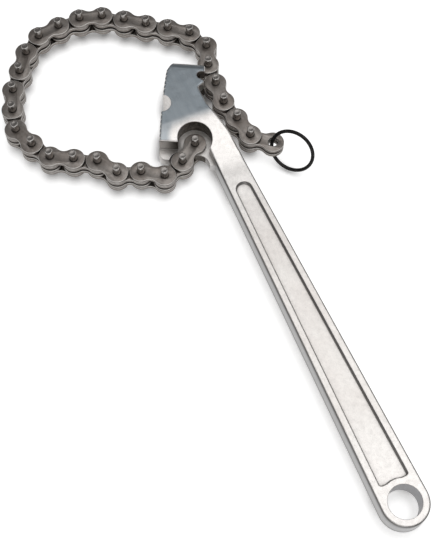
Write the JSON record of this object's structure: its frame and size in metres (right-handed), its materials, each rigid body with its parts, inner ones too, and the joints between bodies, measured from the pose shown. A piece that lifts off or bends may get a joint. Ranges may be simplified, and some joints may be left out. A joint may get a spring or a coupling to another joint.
{
  "type": "chain wrench",
  "caption": "Chain wrench with a forged handle, a toothed jaw, a pinned chain that wraps a filter or pipe and hooks over the back of the head, and a pull ring.",
  "frame": {"origin": "centre of the hanging hole, half way through the handle's thickness", "axes": "+X along the handle to the head, +Y towards the toothed jaw, +Z along the chain's pins"},
  "size_m": [0.3348, 0.1466, 0.0258],
  "materials": {
    "forged_steel": "satin nickel-chrome plating over a forged and machined surface",
    "chain_plate": "oiled brown-grey heat-treated plates with bright rolled edges",
    "chain_pin": "hardened and oiled steel with bright chamfers",
    "ring_wire": "black oxide spring wire"
  },
  "bodies": {
    "handle": {"forged_handle": "forged_steel"},
    "link_01": {"outer_plates_01": "chain_plate", "link_pins_01": "chain_pin"},
    "link_02": {"inner_plates_01": "chain_plate", "bushes_01": "chain_pin"},
    "link_03": {"outer_plates_02": "chain_plate", "link_pins_02": "chain_pin"},
    "link_04": {"inner_plates_02": "chain_plate", "bushes_02": "chain_pin"},
    "link_05": {"outer_plates_03": "chain_plate", "link_pins_03": "chain_pin"},
    "link_06": {"inner_plates_03": "chain_plate", "bushes_03": "chain_pin"},
    "link_07": {"outer_plates_04": "chain_plate", "link_pins_04": "chain_pin"},
    "link_08": {"inner_plates_04": "chain_plate", "bushes_04": "chain_pin"},
    "link_09": {"outer_plates_05": "chain_plate", "link_pins_05": "chain_pin"},
    "link_10": {"inner_plates_05": "chain_plate", "bushes_05": "chain_pin"},
    "link_11": {"outer_plates_06": "chain_plate", "link_pins_06": "chain_pin"},
    "link_12": {"inner_plates_06": "chain_plate", "bushes_06": "chain_pin"},
    "link_13": {"outer_plates_07": "chain_plate", "link_pins_07": "chain_pin"},
    "link_14": {"inner_plates_07": "chain_plate", "bushes_07": "chain_pin"},
    "link_15": {"outer_plates_08": "chain_plate", "link_pins_08": "chain_pin"},
    "link_16": {"inner_plates_08": "chain_plate", "bushes_08": "chain_pin"},
    "link_17": {"outer_plates_09": "chain_plate", "link_pins_09": "chain_pin"},
    "link_18": {"inner_plates_09": "chain_plate", "bushes_09": "chain_pin"},
    "link_19": {"outer_plates_10": "chain_plate", "link_pins_10": "chain_pin"},
    "link_20": {"inner_plates_10": "chain_plate", "bushes_10": "chain_pin"},
    "link_21": {"outer_plates_11": "chain_plate", "link_pins_11": "chain_pin"},
    "link_22": {"inner_plates_11": "chain_plate", "bushes_11": "chain_pin"},
    "link_23": {"outer_plates_12": "chain_plate", "link_pins_12": "chain_pin"},
    "link_24": {"inner_plates_12": "chain_plate", "bushes_12": "chain_pin"},
    "link_25": {"outer_plates_13": "chain_plate", "link_pins_13": "chain_pin"},
    "link_26": {"inner_plates_13": "chain_plate", "bushes_13": "chain_pin"},
    "link_27": {"outer_plates_14": "chain_plate", "link_pins_14": "chain_pin"},
    "link_28": {"inner_plates_14": "chain_plate", "bushes_14": "chain_pin"},
    "ring": {"pull_ring": "ring_wire"}
  },
  "joints": [
    {"name": "anchor_pin_hinge", "type": "hinge", "parent": "handle", "child": "link_01", "pos_m": [0.2158, 0.0124, 0], "axis": [0, 0, 1], "range_deg": [-3, 5]},
    {"name": "chain_hinge_02", "type": "hinge", "parent": "link_01", "child": "link_02", "pos_m": [0.20852, 0.0228, 0], "axis": [0, 0, -1], "range_deg": [-3, 18]},
    {"name": "chain_hinge_03", "type": "hinge", "parent": "link_02", "child": "link_03", "pos_m": [0.20438, 0.03481, 0], "axis": [0, 0, 1], "range_deg": [-24, 2]},
    {"name": "chain_hinge_04", "type": "hinge", "parent": "link_03", "child": "link_04", "pos_m": [0.21148, 0.04534, 0], "axis": [0, 0, -1], "range_deg": [-2, 15]},
    {"name": "chain_hinge_05", "type": "hinge", "parent": "link_04", "child": "link_05", "pos_m": [0.21603, 0.0572, 0], "axis": [0, 0, 1], "range_deg": [-11, 2]},
    {"name": "chain_hinge_06", "type": "hinge", "parent": "link_05", "child": "link_06", "pos_m": [0.22668, 0.06411, 0], "axis": [0, 0, -1], "range_deg": [-2, 7]},
    {"name": "chain_hinge_07", "type": "hinge", "parent": "link_06", "child": "link_07", "pos_m": [0.23284, 0.07522, 0], "axis": [0, 0, 1], "range_deg": [-5, 2]},
    {"name": "chain_hinge_08", "type": "hinge", "parent": "link_07", "child": "link_08", "pos_m": [0.23919, 0.08622, 0], "axis": [0, 0, -1], "range_deg": [-2, 4]},
    {"name": "chain_hinge_09", "type": "hinge", "parent": "link_08", "child": "link_09", "pos_m": [0.2503, 0.09238, 0], "axis": [0, 0, 1], "range_deg": [-3, 60]},
    {"name": "chain_hinge_10", "type": "hinge", "parent": "link_09", "child": "link_10", "pos_m": [0.26208, 0.09713, 0], "axis": [0, 0, -1], "range_deg": [-60, 2]},
    {"name": "chain_hinge_11", "type": "hinge", "parent": "link_10", "child": "link_11", "pos_m": [0.2745, 0.09449, 0], "axis": [0, 0, 1], "range_deg": [-1, 60]},
    {"name": "chain_hinge_12", "type": "hinge", "parent": "link_11", "child": "link_12", "pos_m": [0.28635, 0.08994, 0], "axis": [0, 0, -1], "range_deg": [-60, 1]},
    {"name": "chain_hinge_13", "type": "hinge", "parent": "link_12", "child": "link_13", "pos_m": [0.29663, 0.08248, 0], "axis": [0, 0, 1], "range_deg": [-1, 60]},
    {"name": "chain_hinge_14", "type": "hinge", "parent": "link_13", "child": "link_14", "pos_m": [0.3069, 0.07501, 0], "axis": [0, 0, -1], "range_deg": [-60, 0]},
    {"name": "chain_hinge_15", "type": "hinge", "parent": "link_14", "child": "link_15", "pos_m": [0.31437, 0.06474, 0], "axis": [0, 0, 1], "range_deg": [0, 60]},
    {"name": "chain_hinge_16", "type": "hinge", "parent": "link_15", "child": "link_16", "pos_m": [0.31657, 0.05223, 0], "axis": [0, 0, -1], "range_deg": [-60, 0]},
    {"name": "chain_hinge_17", "type": "hinge", "parent": "link_16", "child": "link_17", "pos_m": [0.31679, 0.03953, 0], "axis": [0, 0, 1], "range_deg": [0, 60]},
    {"name": "chain_hinge_18", "type": "hinge", "parent": "link_17", "child": "link_18", "pos_m": [0.31329, 0.02733, 0], "axis": [0, 0, -1], "range_deg": [-60, 1]},
    {"name": "chain_hinge_19", "type": "hinge", "parent": "link_18", "child": "link_19", "pos_m": [0.30619, 0.0168, 0], "axis": [0, 0, 1], "range_deg": [-1, 60]},
    {"name": "chain_hinge_20", "type": "hinge", "parent": "link_19", "child": "link_20", "pos_m": [0.29855, 0.00665, 0], "axis": [0, 0, -1], "range_deg": [-60, 1]},
    {"name": "chain_hinge_21", "type": "hinge", "parent": "link_20", "child": "link_21", "pos_m": [0.29108, -0.00362, 0], "axis": [0, 0, 1], "range_deg": [-1, 60]},
    {"name": "chain_hinge_22", "type": "hinge", "parent": "link_21", "child": "link_22", "pos_m": [0.28309, -0.01349, 0], "axis": [0, 0, -1], "range_deg": [-60, 2]},
    {"name": "chain_hinge_23", "type": "hinge", "parent": "link_22", "child": "link_23", "pos_m": [0.27149, -0.01866, 0], "axis": [0, 0, 1], "range_deg": [-2, 60]},
    {"name": "chain_hinge_24", "type": "hinge", "parent": "link_23", "child": "link_24", "pos_m": [0.25948, -0.01452, 0], "axis": [0, 0, -1], "range_deg": [-60, 3]},
    {"name": "chain_hinge_25", "type": "hinge", "parent": "link_24", "child": "link_25", "pos_m": [0.24683, -0.01341, 0], "axis": [0, 0, 1], "range_deg": [-5, 60]},
    {"name": "chain_hinge_26", "type": "hinge", "parent": "link_25", "child": "link_26", "pos_m": [0.23416, -0.01253, 0], "axis": [0, 0, -1], "range_deg": [-60, 8]},
    {"name": "chain_hinge_27", "type": "hinge", "parent": "link_26", "child": "link_27", "pos_m": [0.22167, -0.01484, 0], "axis": [0, 0, 1], "range_deg": [-17, 60]},
    {"name": "chain_hinge_28", "type": "hinge", "parent": "link_27", "child": "link_28", "pos_m": [0.20919, -0.01716, 0], "axis": [0, 0, -1], "range_deg": [-60, 30]},
    {"name": "ring_swivel", "type": "hinge", "parent": "link_28", "child": "ring", "pos_m": [0.20111, -0.02696, 0], "axis": [0, 0, 1], "range_deg": [-60, 60]}
  ]
}
